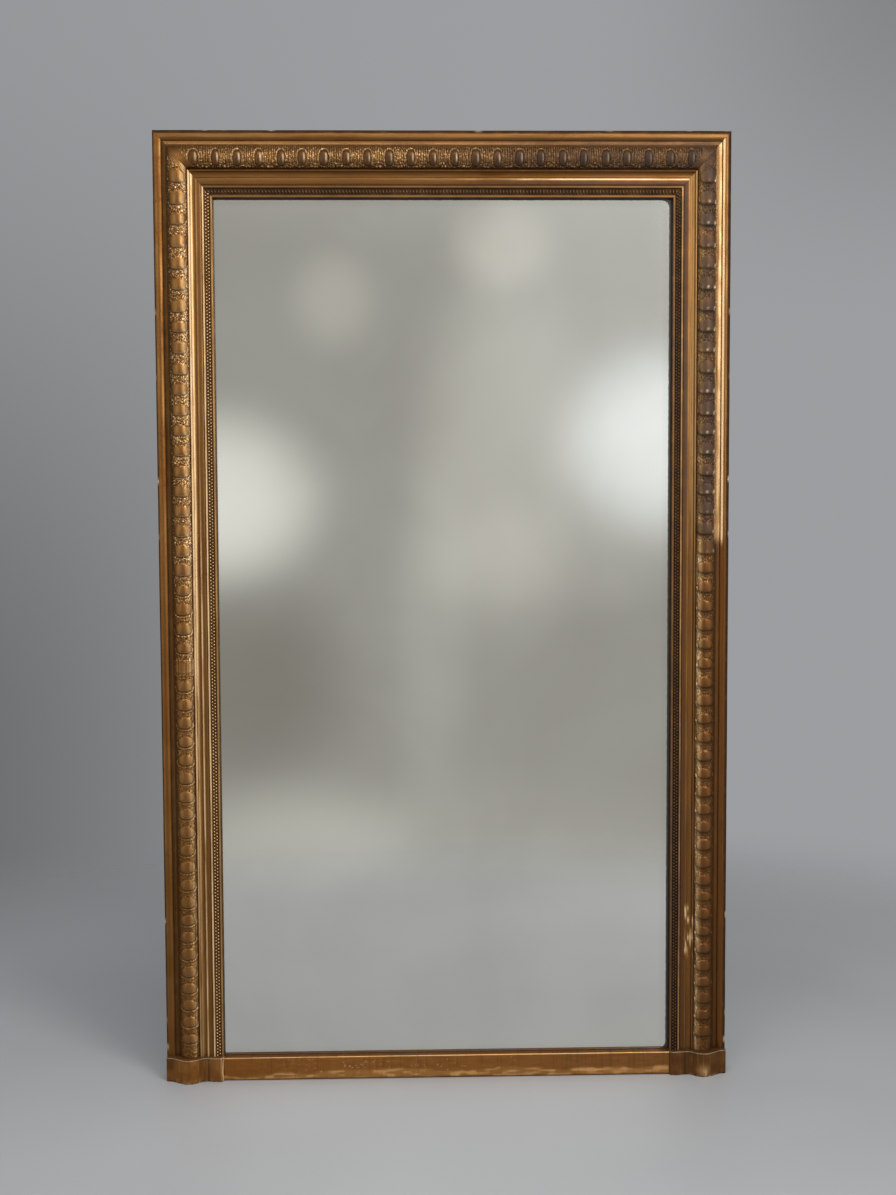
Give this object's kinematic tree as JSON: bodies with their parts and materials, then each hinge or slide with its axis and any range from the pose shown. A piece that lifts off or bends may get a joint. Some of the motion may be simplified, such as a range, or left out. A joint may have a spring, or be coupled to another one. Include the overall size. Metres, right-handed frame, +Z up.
{
  "type": "pier mirror",
  "caption": "Tall giltwood pier mirror: mitred egg-and-dart moulding on a pine core, shaped foot blocks, plain plinth rail, one glass plate and ring hangers let into the back.",
  "frame": {"origin": "on the floor, under the middle of the frame's width and depth", "axes": "+Z up the height, X across the width, the glass and the carved face look towards -Y and the boarded back towards +Y"},
  "size_m": [1.11, 0.067, 1.85],
  "materials": {
    "gilding": "burnished gold leaf over red bole on gessoed pine, rubbed and toned",
    "toned_gilding": "toned and worn gold over red bole, gesso showing at the edges",
    "silvered_glass": "old silvered plate glass, softly clouded, dark at the edges",
    "pine": "planed pine, darkened with age",
    "old_board": "rough sawn pine, unfinished and dusty",
    "oak_peg": "oak end grain",
    "iron": "forged iron, brown with age"
  },
  "bodies": {
    "frame": {"outer_lip_left": "gilding", "outer_lip_right": "gilding", "outer_lip_head": "gilding", "egg_band_left": "gilding", "egg_band_right": "gilding", "egg_band_head": "gilding", "cove_strip_left": "gilding", "cove_strip_right": "gilding", "cove_strip_head": "gilding", "sight_strip_left": "gilding", "sight_strip_right": "gilding", "sight_strip_head": "gilding", "foot_block_left": "toned_gilding", "foot_block_right": "toned_gilding", "plinth_rail": "toned_gilding", "stile_left": "pine", "stile_right": "pine", "head_rail": "pine", "sill_rail": "pine", "peg_head_outer_left": "oak_peg", "peg_head_inner_left": "oak_peg", "peg_sill_outer_left": "oak_peg", "peg_sill_inner_left": "oak_peg", "peg_head_outer_right": "oak_peg", "peg_head_inner_right": "oak_peg", "peg_sill_outer_right": "oak_peg", "peg_sill_inner_right": "oak_peg", "mirror_plate": "silvered_glass", "glazing_wedge_left_low": "old_board", "glazing_wedge_left_high": "old_board", "glazing_wedge_right_low": "old_board", "glazing_wedge_right_high": "old_board", "glazing_wedge_sill_left": "old_board", "glazing_wedge_sill_right": "old_board", "glazing_wedge_head_left": "old_board", "glazing_wedge_head_right": "old_board", "backboard_1": "old_board", "backboard_2": "old_board", "backboard_3": "old_board", "backboard_4": "old_board", "backboard_5": "old_board", "board_nail_left_1": "iron", "board_nail_left_2": "iron", "board_nail_left_3": "iron", "board_nail_left_4": "iron", "board_nail_left_5": "iron", "board_nail_right_1": "iron", "board_nail_right_2": "iron", "board_nail_right_3": "iron", "board_nail_right_4": "iron", "board_nail_right_5": "iron", "hanger_strap_left": "iron", "hanger_strap_right": "iron", "hanger_screw_left_1": "iron", "hanger_screw_left_2": "iron", "hanger_screw_right_1": "iron", "hanger_screw_right_2": "iron"},
    "ring_left": {"hanger_ring_left": "iron"},
    "ring_right": {"hanger_ring_right": "iron"}
  },
  "joints": [
    {"name": "ring_left_swing", "type": "hinge", "parent": "frame", "child": "ring_left", "pos_m": [-0.5025, 0.0283, 1.5], "axis": [1, 0, 0], "range_deg": [0, 150]},
    {"name": "ring_right_swing", "type": "hinge", "parent": "frame", "child": "ring_right", "pos_m": [0.5025, 0.0283, 1.5], "axis": [1, 0, 0], "range_deg": [0, 150]}
  ]
}
